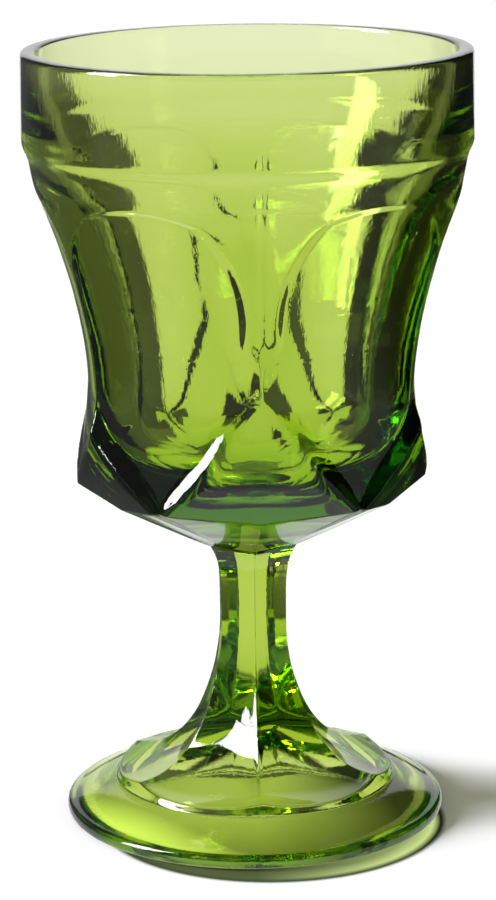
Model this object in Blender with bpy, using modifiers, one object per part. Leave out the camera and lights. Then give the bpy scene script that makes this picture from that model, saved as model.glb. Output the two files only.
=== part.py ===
"""Pressed glass goblet: a round rim band over a six-sided bowl, a six-sided stem and a petalled foot.

Units are metres, +Z is up, and the goblet stands on the XY plane with its axis on Z.
Angles run from the front, -Y, towards +X. A ridge of the bowl, the stem and the foot faces the front.
"""

import math

import bmesh
import bpy
from mathutils import Vector

# Overall plan: six corners of the bowl's base, six ridges halfway between them
FRONT_HALF_ANGLE = math.radians(34.0)
STEPS_PER_HALF_SIDE = 6

# Foot: a round disc with a domed underside, a raised plinth and six scooped petals
FOOT_RADIUS = 0.0362
FOOT_EDGE_HEIGHT = 0.0024
FOOT_EDGE_ROUND = 0.0012
FOOT_RECESS_RADIUS = 0.0315
FOOT_RECESS_DEPTH = 0.0056
RECESS_ROWS = 6
PLINTH_RADIUS = 0.0266
PLINTH_FLOOR_HEIGHT = 0.0066
PLINTH_WALL = 0.0014
PLINTH_SETBACK = 0.0005
RIDGE_RISE = 0.0013
RIDGE_NOTCH = 0.0006
FOOT_HEIGHT = 0.0200
RIDGE_FLARE = 0.0050
PETAL_FLARE = 0.0022
PETAL_ROWS = 9

# Stem: six flat sides, narrowest at its waist
STEM_LENGTH = 0.0330
STEM_BASE_RADIUS = 0.0110
STEM_WAIST_RADIUS = 0.00695
STEM_WAIST_HEIGHT = 0.0180
STEM_TOP_RADIUS = 0.0092
STEM_BASE_CURVE = 2.0
STEM_TOP_CURVE = 4.5
STEM_ROWS = 14
JOINT_GAP = 0.0003

# Bowl underside: a shallow six-sided cone from the stem out to the base corners
KEEL_HEIGHT = 0.0099
CORNER_HEIGHT = 0.0125
CORNER_RADIUS = 0.0338
COLLAR_SPREAD = 0.0016
COLLAR_RISE = 0.0006
UNDERSIDE_ROWS = 7

# Bowl sides: six scooped panels under arches, and six kite-shaped flats under the ridges
PANEL_WAIST_RADIUS = 0.0305
PANEL_WAIST_HEIGHT = 0.0320
PANEL_FOOT_RADIUS = 0.0326
PANEL_SECTION_RADIUS = 0.0680
PANEL_RISE_CURVE = 1.7
PANEL_FOOT_CURVE = 1.25
FLAT_SLOPE = 0.270
SHOULDER_TAPER = 0.290
SHOULDER_DEPTH = 0.0226
BASE_SPREAD = 0.35
FLAT_ROWS = 5
PANEL_ROWS = 22

# Bowl top: a narrow ring, a step out to the rim band, and the lip
RING_RADIUS = 0.03975
RING_HEIGHT = 0.0690
RING_DEPTH = 0.0049
RING_FLARE = 0.00075
STEP_DEPTH = 0.0016
BAND_LOWER_RADIUS = 0.0418
BAND_UPPER_RADIUS = 0.0416
BAND_DEPTH = 0.0179
LIP_ROUND = 0.0008
ROUND_STEPS = 3

# Hollow of the bowl, a turned shape
LIP_WALL = 0.0029
BAND_BEND_HEIGHT = 0.0815
SHOULDER_WALL = 0.00515
SHOULDER_HEIGHT = 0.0685
WAIST_BEND_HEIGHT = 0.0460
WAIST_WALL = 0.0054
FLOOR_THICKNESS = 0.0145
HOLLOW_FLOOR_CURVE = 3.2
HOLLOW_WALL_ROWS = 7
HOLLOW_FLOOR_ROWS = 7
PLUNGER_CLEARANCE = 0.0040

CREASE_ANGLE = math.radians(20.0)
WELD_DISTANCE = 0.00001

GLASS_COLOUR = (0.42, 0.60, 0.09, 1.0)
GLASS_ROUGHNESS = 0.03
GLASS_IOR = 1.52

# Heights that follow from the sizes above
STEM_TOP_HEIGHT = FOOT_HEIGHT + STEM_LENGTH
KEEL_Z = STEM_TOP_HEIGHT + KEEL_HEIGHT
CORNER_Z = STEM_TOP_HEIGHT + CORNER_HEIGHT
WAIST_Z = STEM_TOP_HEIGHT + PANEL_WAIST_HEIGHT
RING_Z = STEM_TOP_HEIGHT + RING_HEIGHT
STEP_Z = RING_Z + RING_DEPTH
BAND_Z = STEP_Z + STEP_DEPTH
RIM_Z = BAND_Z + BAND_DEPTH
FLOOR_Z = STEM_TOP_HEIGHT + FLOOR_THICKNESS
BAND_BEND_Z = STEM_TOP_HEIGHT + BAND_BEND_HEIGHT
SHOULDER_Z = STEM_TOP_HEIGHT + SHOULDER_HEIGHT
WAIST_BEND_Z = STEM_TOP_HEIGHT + WAIST_BEND_HEIGHT
RING_STEPS = 12 * STEPS_PER_HALF_SIDE


def base_corners():
    """Return the six angles of the bowl's base corners, one turn from the front."""
    half = FRONT_HALF_ANGLE
    return [half, math.pi / 2, math.pi - half, math.pi + half, 1.5 * math.pi, 2 * math.pi - half]


def ridge_lines():
    """Return the six ridge angles, each halfway between two corners, with the turn closed."""
    corners = base_corners()
    ridges = [0.0]
    ridges += [(first + second) / 2 for first, second in zip(corners, corners[1:])]
    return ridges + [2 * math.pi]


def ring_angles():
    """Return the angles of one section: even steps from ridge to corner and from corner to ridge."""
    stops = sorted(ridge_lines() + base_corners())
    angles = []
    for first, second in zip(stops, stops[1:]):
        for step in range(STEPS_PER_HALF_SIDE):
            angles.append(first + (second - first) * step / STEPS_PER_HALF_SIDE)
    return angles


def side_of(angle):
    """Return the middle angle and the half angle of the side, between two ridges, that holds an angle."""
    ridges = ridge_lines()
    for first, second in zip(ridges, ridges[1:]):
        if first <= angle <= second:
            return (first + second) / 2, (second - first) / 2
    raise ValueError(f"angle {angle} lies outside one turn")


def flat_of(angle):
    """Return the offset from the nearest ridge, and the half angle between its two corners."""
    corners = base_corners()
    bounds = [corners[-1] - 2 * math.pi] + corners + [corners[0] + 2 * math.pi]
    for first, second in zip(bounds, bounds[1:]):
        if first <= angle <= second:
            return angle - (first + second) / 2, (second - first) / 2
    raise ValueError(f"angle {angle} lies outside one turn")


def place(angle, radius, height):
    """Return the point at an angle from the front, a radius and a height."""
    return Vector((radius * math.sin(angle), -radius * math.cos(angle), height))


def bend(start, control, end, share):
    """Return the point at a share of the way along a quadratic curve."""
    rest = 1 - share
    return start * rest * rest + control * 2 * rest * share + end * share * share


def six_sided(angle, vertex_radius):
    """Return the radius of a flat-sided section whose corners stand on the ridges."""
    middle, half = side_of(angle)
    return vertex_radius * math.cos(half) / math.cos(angle - middle)


def scoop_share(angle):
    """Return 0 on a ridge and 1 in the middle of a side, along a parabola."""
    middle, half = side_of(angle)
    return 1 - ((angle - middle) / half) ** 2


def stem_radius(height):
    """Return the stem's corner radius at a height above the foot."""
    if height < STEM_WAIST_HEIGHT:
        share = (STEM_WAIST_HEIGHT - height) / STEM_WAIST_HEIGHT
        return STEM_WAIST_RADIUS + (STEM_BASE_RADIUS - STEM_WAIST_RADIUS) * share ** STEM_BASE_CURVE
    share = (height - STEM_WAIST_HEIGHT) / (STEM_LENGTH - STEM_WAIST_HEIGHT)
    return STEM_WAIST_RADIUS + (STEM_TOP_RADIUS - STEM_WAIST_RADIUS) * share ** STEM_TOP_CURVE


def shoulder_radius(height):
    """Return the radius of the round blank under the panels: in from the ring, then out to the base."""
    taper = SHOULDER_TAPER * min(RING_Z - height, SHOULDER_DEPTH)
    return RING_RADIUS - taper + BASE_SPREAD * max(WAIST_Z - height, 0.0)


def panel_middle_radius(height):
    """Return the radius along the middle of a panel: in to the waist, then out to the base corner."""
    if height > WAIST_Z:
        share = (height - WAIST_Z) / (RING_Z - WAIST_Z)
        return PANEL_WAIST_RADIUS + (RING_RADIUS - PANEL_WAIST_RADIUS) * share ** PANEL_RISE_CURVE
    share = (WAIST_Z - height) / (WAIST_Z - CORNER_Z)
    return PANEL_WAIST_RADIUS + (PANEL_FOOT_RADIUS - PANEL_WAIST_RADIUS) * share ** PANEL_FOOT_CURVE


def panel_radius(angle, height):
    """Return the radius of the panel over the nearest corner, on a circle wider than the bowl's own."""
    back = PANEL_SECTION_RADIUS - panel_middle_radius(height)
    turn = min((angle - corner for corner in base_corners()), key=abs)
    reach = math.sqrt(PANEL_SECTION_RADIUS ** 2 - (back * math.sin(turn)) ** 2)
    return reach - back * math.cos(turn)


def flat_radius(angle, height):
    """Return the radius of the leaning flat under the nearest ridge."""
    offset, half = flat_of(angle)
    distance = CORNER_RADIUS * math.cos(half) + FLAT_SLOPE * (height - CORNER_Z)
    return distance / math.cos(offset)


def bowl_radius(angle, height):
    """Return the outside of the bowl below the ring: the innermost of blank, panel and flat."""
    return min(shoulder_radius(height), panel_radius(angle, height), flat_radius(angle, height))


def edge_height(angle):
    """Return the height of the bowl's lower edge: lowest under a ridge, highest at a corner."""
    offset, half = flat_of(angle)
    return KEEL_Z + (CORNER_Z - KEEL_Z) * abs(math.tan(offset)) / math.tan(half)


def bowl_sections():
    """Return the bowl's outside as sections, from the stem joint up to the top of the lip."""
    angles = ring_angles()
    sections = []
    joint_z = STEM_TOP_HEIGHT + JOINT_GAP / 2
    for row in range(UNDERSIDE_ROWS):
        section = []
        for angle in angles:
            start = place(angle, six_sided(angle, STEM_TOP_RADIUS), joint_z)
            spread = STEM_TOP_RADIUS + COLLAR_SPREAD
            control = place(angle, six_sided(angle, spread), joint_z + COLLAR_RISE)
            edge_z = edge_height(angle)
            edge = place(angle, bowl_radius(angle, edge_z), edge_z)
            section.append(bend(start, control, edge, row / UNDERSIDE_ROWS))
        sections.append(section)
    level_z = CORNER_Z + (CORNER_Z - KEEL_Z)
    for row in range(FLAT_ROWS):
        section = []
        for angle in angles:
            edge_z = edge_height(angle)
            height = edge_z + (level_z - edge_z) * row / FLAT_ROWS
            section.append(place(angle, bowl_radius(angle, height), height))
        sections.append(section)
    for row in range(PANEL_ROWS):
        height = level_z + (RING_Z - level_z) * row / PANEL_ROWS
        sections.append([place(angle, bowl_radius(angle, height), height) for angle in angles])
    for radius, height in band_profile():
        sections.append([place(angle, radius, height) for angle in angles])
    return sections


def band_profile():
    """Return the round top of the bowl as radius and height pairs: ring, step, band and rounded lip."""
    ring_top = RING_RADIUS + RING_FLARE
    profile = [
        (RING_RADIUS, RING_Z),
        (ring_top, STEP_Z),
        ((ring_top + BAND_LOWER_RADIUS) / 2, STEP_Z + STEP_DEPTH / 3),
        (BAND_LOWER_RADIUS, BAND_Z),
    ]
    for step in range(ROUND_STEPS + 1):
        turn = math.pi / 2 * step / ROUND_STEPS
        radius = BAND_UPPER_RADIUS - LIP_ROUND * (1 - math.cos(turn))
        profile.append((radius, RIM_Z - LIP_ROUND * (1 - math.sin(turn))))
    return profile


def hollow_profile():
    """Return the hollow's half outline, down its outer side from above the lip to the floor's middle."""
    lip_radius = BAND_UPPER_RADIUS - LIP_WALL
    waist = PANEL_WAIST_RADIUS - WAIST_WALL
    wall_top = Vector((lip_radius, RIM_Z - LIP_ROUND))
    band_bend = Vector((lip_radius, BAND_BEND_Z))
    shoulder = Vector((RING_RADIUS - SHOULDER_WALL, SHOULDER_Z))
    waist_bend = Vector((waist, WAIST_BEND_Z))
    wall_foot = Vector((waist, WAIST_Z))
    profile = [(lip_radius + LIP_ROUND, RIM_Z + PLUNGER_CLEARANCE)]
    for step in range(ROUND_STEPS + 1):
        turn = math.pi / 2 * step / ROUND_STEPS
        radius = lip_radius + LIP_ROUND * (1 - math.sin(turn))
        profile.append((radius, RIM_Z - LIP_ROUND * (1 - math.cos(turn))))
    for start, control, end in ((wall_top, band_bend, shoulder), (shoulder, waist_bend, wall_foot)):
        for step in range(1, HOLLOW_WALL_ROWS + 1):
            profile.append(tuple(bend(start, control, end, step / HOLLOW_WALL_ROWS)))
    for step in range(1, HOLLOW_FLOOR_ROWS + 1):
        turn = math.pi / 2 * step / HOLLOW_FLOOR_ROWS
        radius = waist * math.cos(turn) ** (2 / HOLLOW_FLOOR_CURVE) if step < HOLLOW_FLOOR_ROWS else 0.0
        height = WAIST_Z - (WAIST_Z - FLOOR_Z) * math.sin(turn) ** (2 / HOLLOW_FLOOR_CURVE)
        profile.append((radius, height))
    return profile


def stem_sections():
    """Return the stem as six-sided sections, a joint gap short at either end."""
    first = JOINT_GAP / 2
    length = STEM_LENGTH - JOINT_GAP
    sections = []
    for row in range(STEM_ROWS + 1):
        height = first + length * row / STEM_ROWS
        radius = stem_radius(height)
        sections.append([place(angle, radius, FOOT_HEIGHT + height) for angle in ridge_lines()[:-1]])
    return sections


def petal_point(angle, share):
    """Return a point of a petal, from the stem joint at share 0 to the plinth's edge at share 1."""
    joint_z = FOOT_HEIGHT - JOINT_GAP / 2
    petal_z = PLINTH_FLOOR_HEIGHT + PLINTH_WALL
    ridge_z = petal_z + RIDGE_RISE
    petal_edge = PLINTH_RADIUS - PLINTH_SETBACK
    middle, half = side_of(angle)
    ridge = bend(
        Vector((STEM_BASE_RADIUS, joint_z)),
        Vector((STEM_BASE_RADIUS + RIDGE_FLARE, ridge_z)),
        Vector((petal_edge - RIDGE_NOTCH, ridge_z)),
        share,
    )
    apothem = STEM_BASE_RADIUS * math.cos(half)
    petal = bend(
        Vector((apothem, joint_z)),
        Vector((apothem + PETAL_FLARE, petal_z)),
        Vector((petal_edge, petal_z)),
        share,
    )
    radius, height = ridge + (petal - ridge) * scoop_share(angle)
    return place(angle, radius, height)


def foot_sections():
    """Return the foot as sections, from the middle of its underside out and up to the stem joint."""
    angles = ring_angles()
    edge_z = FOOT_EDGE_HEIGHT - FOOT_EDGE_ROUND
    turned = []
    for step in range(1, RECESS_ROWS + 1):
        share = step / RECESS_ROWS
        turned.append((FOOT_RECESS_RADIUS * share, FOOT_RECESS_DEPTH * (1 - share ** 2)))
    turned.append((FOOT_RADIUS - FOOT_EDGE_ROUND, 0.0))
    for step in range(1, ROUND_STEPS + 1):
        turn = math.pi / 2 * step / ROUND_STEPS
        radius = FOOT_RADIUS - FOOT_EDGE_ROUND * (1 - math.sin(turn))
        turned.append((radius, edge_z * (1 - math.cos(turn))))
    for step in range(1, ROUND_STEPS + 1):
        turn = math.pi / 2 * step / ROUND_STEPS
        radius = FOOT_RADIUS - FOOT_EDGE_ROUND * (1 - math.cos(turn))
        turned.append((radius, edge_z + FOOT_EDGE_ROUND * math.sin(turn)))
    turned.append((PLINTH_RADIUS, PLINTH_FLOOR_HEIGHT))
    sections = [[place(angle, radius, height) for angle in angles] for radius, height in turned]
    for row in range(PETAL_ROWS + 1):
        share = 1 - row / PETAL_ROWS
        sections.append([petal_point(angle, share) for angle in angles])
    return sections


def new_collection(name):
    """Return a new collection in the scene."""
    collection = bpy.data.collections.new(name)
    bpy.context.scene.collection.children.link(collection)
    return collection


def glass_material(name):
    """Return clear green pressed glass as a Principled material."""
    material = bpy.data.materials.new(name)
    material.use_nodes = True
    shader = material.node_tree.nodes["Principled BSDF"]
    shader.inputs["Base Color"].default_value = GLASS_COLOUR
    shader.inputs["Roughness"].default_value = GLASS_ROUGHNESS
    shader.inputs["Metallic"].default_value = 0.0
    shader.inputs["IOR"].default_value = GLASS_IOR
    shader.inputs["Transmission Weight"].default_value = 1.0
    material.diffuse_color = GLASS_COLOUR
    return material


def lofted(name, sections, collection):
    """Return an object lofted through sections of equal count, from the lowest up, closed at both ends."""
    model = bmesh.new()
    rings = [[model.verts.new(point) for point in section] for section in sections]
    for lower, upper in zip(rings, rings[1:]):
        for index, vertex in enumerate(lower):
            after = (index + 1) % len(lower)
            model.faces.new((vertex, lower[after], upper[after], upper[index]))
    model.faces.new(list(reversed(rings[0])))
    model.faces.new(rings[-1])
    bmesh.ops.recalc_face_normals(model, faces=model.faces)
    mesh = bpy.data.meshes.new(name)
    model.to_mesh(mesh)
    model.free()
    return finished(name, mesh, collection)


def finished(name, mesh, collection):
    """Return a smooth-shaded object for a mesh, with its creases kept sharp."""
    mesh.shade_smooth()
    mesh.set_sharp_from_angle(angle=CREASE_ANGLE)
    piece = bpy.data.objects.new(name, mesh)
    collection.objects.link(piece)
    return piece


def turned_cutter(name, profile, collection):
    """Return a cutter turned about Z from a half outline of radius and height pairs."""
    mesh = bpy.data.meshes.new(name)
    points = [(0.0, 0.0, profile[0][1])] + [(radius, 0.0, height) for radius, height in profile]
    edges = [(index, index + 1) for index in range(len(points) - 1)]
    mesh.from_pydata(points, edges, [])
    cutter = bpy.data.objects.new(name, mesh)
    collection.objects.link(cutter)
    screw = cutter.modifiers.new("turn", "SCREW")
    screw.axis = "Z"
    screw.steps = RING_STEPS
    screw.render_steps = RING_STEPS
    screw.use_merge_vertices = True
    screw.merge_threshold = WELD_DISTANCE
    cutter.display_type = "WIRE"
    cutter.hide_render = True
    return cutter


def main():
    """Build the bowl, the stem and the foot on one empty."""
    for old in list(bpy.data.objects):
        bpy.data.objects.remove(old, do_unlink=True)
    parts = new_collection("goblet")
    cutters = new_collection("cutters")

    axis = bpy.data.objects.new("goblet_axis", None)
    parts.objects.link(axis)

    foot = lofted("foot", foot_sections(), parts)
    stem = lofted("stem", stem_sections(), parts)
    bowl = lofted("bowl", bowl_sections(), parts)

    hollow = turned_cutter("hollow", hollow_profile(), cutters)
    cut = bowl.modifiers.new("hollow", "BOOLEAN")
    cut.operation = "DIFFERENCE"
    cut.object = hollow

    for piece in (foot, stem, bowl):
        piece.data.materials.append(glass_material(piece.name + "_glass"))
        piece.parent = axis


main()
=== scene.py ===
"""Looks of a green pressed-glass goblet, dressed over its bowl, stem and foot.

Units are metres and +Z is up. Angles run from the front, -Y, towards +X, and a ridge faces the front.
"""

import logging
import math
from dataclasses import dataclass, fields, replace
from enum import Enum

import bpy
import numpy as np
from mathutils import Matrix, Vector


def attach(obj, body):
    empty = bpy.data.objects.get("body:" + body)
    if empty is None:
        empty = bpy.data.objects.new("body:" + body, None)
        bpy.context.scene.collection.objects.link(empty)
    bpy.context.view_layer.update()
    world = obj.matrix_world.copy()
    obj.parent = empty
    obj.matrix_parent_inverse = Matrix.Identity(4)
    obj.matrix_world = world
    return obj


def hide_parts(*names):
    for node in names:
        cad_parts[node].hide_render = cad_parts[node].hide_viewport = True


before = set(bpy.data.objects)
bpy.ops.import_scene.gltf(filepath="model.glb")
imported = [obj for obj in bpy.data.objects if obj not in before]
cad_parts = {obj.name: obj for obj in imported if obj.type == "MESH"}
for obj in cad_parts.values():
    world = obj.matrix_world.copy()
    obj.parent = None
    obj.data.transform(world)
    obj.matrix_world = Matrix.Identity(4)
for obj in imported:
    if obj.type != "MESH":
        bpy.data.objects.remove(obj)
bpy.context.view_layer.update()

LOG = logging.getLogger("goblet")
BODY = "root"
ARCH_DEPTH = "arch depth"

Pair = tuple[float, float]
Triple = tuple[float, float, float]
Tree = bpy.types.NodeTree
Socket = bpy.types.NodeSocket

NOWHERE: Pair = (0.0, 0.0)
WHITE: Triple = (1.0, 1.0, 1.0)


class Mark(Enum):
    """Numbers that each point of the blank carries into the press."""

    TURN = "turn"
    SCOOP = "scoop"
    RIDGE_OFFSET = "ridge offset"
    RIDGE_HALF = "ridge half angle"
    CORNER_OFFSET = "corner offset"
    RIDGE_RADIUS = "ridge radius"
    RIDGE_HEIGHT = "ridge height"
    SIDE_RADIUS = "side radius"
    SIDE_HEIGHT = "side height"
    LEVEL = "level"
    RISE = "rise"
    BOWL_SHARE = "bowl share"
    MOULDED = "moulded"


@dataclass(frozen=True)
class Field:
    """A number that varies over the surface, held as a socket of a node tree."""

    tree: Tree
    socket: Socket

    def math(self, operation: str, *others: "Field | float") -> "Field":
        """Join this number with others in one Math node.

        Args:
            operation: Name of the Math node's operation.
            *others: Further numbers, in the order of the node's inputs.

        Returns:
            The node's result.
        """
        node = self.tree.nodes.new("ShaderNodeMath")
        node.operation = operation
        for slot, value in zip(node.inputs, (self, *others)):
            if isinstance(value, Field):
                self.tree.links.new(value.socket, slot)
            else:
                slot.default_value = value
        return Field(self.tree, node.outputs[0])

    def __add__(self, other: "Field | float") -> "Field":
        """Return the sum."""
        return self.math("ADD", other)

    def __sub__(self, other: "Field | float") -> "Field":
        """Return the difference."""
        return self.math("SUBTRACT", other)

    def __mul__(self, other: "Field | float") -> "Field":
        """Return the product."""
        return self.math("MULTIPLY", other)

    def __truediv__(self, other: "Field | float") -> "Field":
        """Return the quotient."""
        return self.math("DIVIDE", other)

    def __pow__(self, other: "Field | float") -> "Field":
        """Return the power."""
        return self.math("POWER", other)

    def sin(self) -> "Field":
        """Return the sine."""
        return self.math("SINE")

    def cos(self) -> "Field":
        """Return the cosine."""
        return self.math("COSINE")

    def tan(self) -> "Field":
        """Return the tangent."""
        return self.math("TANGENT")

    def exp(self) -> "Field":
        """Return the natural exponential."""
        return self.math("EXPONENT")

    def root(self) -> "Field":
        """Return the square root."""
        return self.math("SQRT")

    def size(self) -> "Field":
        """Return the number without its sign."""
        return self.math("ABSOLUTE")

    def least(self, other: "Field | float") -> "Field":
        """Return the smaller of two numbers."""
        return self.math("MINIMUM", other)

    def most(self, other: "Field | float") -> "Field":
        """Return the larger of two numbers."""
        return self.math("MAXIMUM", other)

    def held(self) -> "Field":
        """Return the number kept between 0 and 1."""
        return self.most(0.0).least(1.0)

    def ramp(self, start: "Field | float", spread: float) -> "Field":
        """Return how far the number has come from a start over a spread, from 0 to 1."""
        return ((self - start) / spread).held()

    def eased(self) -> "Field":
        """Return a share from 0 to 1 with a soft start and a soft end."""
        return self * self * (self * -2.0 + 3.0)

    def past(self, edge: "Field | float", fade: float) -> "Field":
        """Return 0 before an edge and 1 past it, blurred by a fade; a negative fade swaps the two."""
        return ((self - edge) / fade + 0.5).held()

    def reach(self, other: "Field") -> "Field":
        """Return the distance from the axis of a spot with these two coordinates."""
        return (self * self + other * other).root()

    def blend(self, other: "Field | float", share: "Field") -> "Field":
        """Return this number where the share is 0, and the other where it is 1."""
        return (self * -1.0 + other) * share + self

    def soft_least(self, other: "Field", softness: "Field | float") -> "Field":
        """Return the smaller of two numbers, with the corner between them rounded."""
        return self.math("SMOOTH_MIN", other, softness)


@dataclass(frozen=True)
class Row:
    """One ring of the blank, given on a ridge and in the middle of a side as radius and height."""

    ridge: Pair
    side: Pair
    level: float = 0.0
    rise: float = 1.0
    bowl_share: float = 0.0
    moulded: float = 1.0


def turned(points: list[Pair], moulded: float = 1.0) -> list[Row]:
    """Make round rows.

    Args:
        points: Radius and height of each row.
        moulded: 1 where the outer mould shapes the glass, 0 where the plunger does.

    Returns:
        One row for each point.
    """
    return [Row(point, point, moulded=moulded) for point in points]


def shares(count: int, start: bool = True, crowd: float = 0.0) -> list[float]:
    """Spread shares from 0 to 1.

    Args:
        count: Number of steps.
        start: Whether share 0 is kept.
        crowd: How far steps are drawn towards both ends, from 0 to 1.

    Returns:
        The shares in order.
    """
    full_turn = 2 * math.pi
    steps = range(0 if start else 1, count + 1)
    return [s / count - crowd * math.sin(full_turn * s / count) / full_turn for s in steps]


def straight(first: Pair, second: Pair, count: int, bulge: float = 0.0) -> list[Pair]:
    """Walk from one point of a profile to the next, without the first.

    Args:
        first: Radius and height at the start.
        second: Radius and height at the end.
        count: Number of steps.
        bulge: Height of the middle above the straight line.

    Returns:
        The points after the first.
    """
    points = []
    for share in shares(count, start=False):
        radius = first[0] + (second[0] - first[0]) * share
        height = first[1] + (second[1] - first[1]) * share
        points.append((radius, height + bulge * 4 * share * (1 - share)))
    return points


def curve(first: Pair, control: Pair, last: Pair, share: float) -> Pair:
    """Find a point on a quadratic curve.

    Args:
        first: Radius and height at the start.
        control: Radius and height of the knot that the curve is drawn towards.
        last: Radius and height at the end.
        share: How far along the point lies, from 0 to 1.

    Returns:
        Its radius and height.
    """
    rest = 1 - share
    weights = (rest * rest, 2 * rest * share, share * share)
    knots = (first, control, last)
    return tuple(sum(w * knot[axis] for w, knot in zip(weights, knots)) for axis in (0, 1))


def curved(first: Pair, control: Pair, last: Pair, count: int) -> list[Pair]:
    """Return a quadratic curve's points after the first."""
    return [curve(first, control, last, share) for share in shares(count, start=False)]


def joined(kind: str, *parts: Field) -> Socket:
    """Join three numbers into a vector or a colour.

    Args:
        kind: Type of the node that joins them.
        *parts: The numbers, in the order of the node's inputs.

    Returns:
        The node's result.
    """
    tree = parts[0].tree
    node = tree.nodes.new(kind)
    for part, slot in zip(parts, node.inputs):
        tree.links.new(part.socket, slot)
    return node.outputs[0]


def point(x: Field, y: Field, z: Field) -> Socket:
    """Return three numbers as a place."""
    return joined("ShaderNodeCombineXYZ", x, y, z)


def mixed(share: Field, first: Triple, second: Triple) -> Socket:
    """Return the first colour where the share is 0, and the second where it is 1."""
    return joined("ShaderNodeCombineColor", *(share * (two - one) + one for one, two in zip(first, second)))


def axes(tree: Tree, source: str) -> tuple[Field, ...]:
    """Read a texture coordinate.

    Args:
        tree: Tree of a material or a world.
        source: Name of the coordinate.

    Returns:
        Its x, y and z.
    """
    split = tree.nodes.new("ShaderNodeSeparateXYZ")
    tree.links.new(tree.nodes.new("ShaderNodeTexCoord").outputs[source], split.inputs[0])
    return tuple(Field(tree, split.outputs[axis]) for axis in "XYZ")


def light_path(tree: Tree, kind: str) -> Field:
    """Return 1 for one kind of ray, and 0 for others."""
    return Field(tree, tree.nodes.new("ShaderNodeLightPath").outputs[kind])


def through_glass(tree: Tree) -> Field:
    """Return 1 for a ray that the glass reflects or lets through, and 0 for others."""
    return light_path(tree, "Is Glossy Ray").most(light_path(tree, "Is Transmission Ray"))


def placed(name: str, data: bpy.types.ID) -> bpy.types.Object:
    """Put a mesh, lamp or camera in the scene.

    Args:
        name: The object's name.
        data: What the object shows.

    Returns:
        The object, at the origin.
    """
    made = bpy.data.objects.new(name, data)
    bpy.context.scene.collection.objects.link(made)
    return made


@dataclass(frozen=True)
class Plan:
    """The six sides seen from above: base corners, and a ridge halfway between each two."""

    front_half: float = math.radians(34.0)
    columns_per_half_side: int = 25
    column_crowd: float = 0.45

    def corners(self) -> list[float]:
        """List the base corners.

        Returns:
            Their six angles, one turn from the front.
        """
        half = self.front_half
        first = [half, math.pi / 2, math.pi - half]
        return first + [angle + math.pi for angle in first]

    def ridges(self) -> list[float]:
        """List the ridges.

        Returns:
            Their angles over one turn, with the front ridge at both ends.
        """
        corners = self.corners()
        middles = [(one + two) / 2 for one, two in zip(corners, corners[1:])]
        return [0.0] + middles + [2 * math.pi]

    def columns(self) -> list[float]:
        """Spread the blank's columns, crowded at ridges and corners.

        Returns:
            Their angles.
        """
        stops = sorted(self.ridges() + self.corners())
        steps = shares(self.columns_per_half_side, crowd=self.column_crowd)[:-1]
        return [one + (two - one) * step for one, two in zip(stops, stops[1:]) for step in steps]

    def side_half(self, side: int) -> float:
        """Return half the angle of a side, between its two ridges."""
        ridges = self.ridges()
        return (ridges[side + 1] - ridges[side]) / 2

    def marks(self, angle: float) -> dict[Mark, float]:
        """Work out what a column carries.

        Args:
            angle: The column's angle from the front.

        Returns:
            The column's marks.
        """
        ridges, corners = self.ridges(), self.corners()
        side = max(i for i in range(len(corners)) if ridges[i] <= angle)
        middle = (ridges[side] + ridges[side + 1]) / 2
        bounds = [corners[-1] - 2 * math.pi] + corners + [corners[0] + 2 * math.pi]
        low = max(bound for bound in bounds if bound <= angle)
        high = bounds[bounds.index(low) + 1]
        return {
            Mark.TURN: angle,
            Mark.SCOOP: 1 - ((angle - middle) / self.side_half(side)) ** 2,
            Mark.RIDGE_OFFSET: angle - (low + high) / 2,
            Mark.RIDGE_HALF: (high - low) / 2,
            Mark.CORNER_OFFSET: min((angle - bound for bound in bounds), key=abs),
        }


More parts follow.
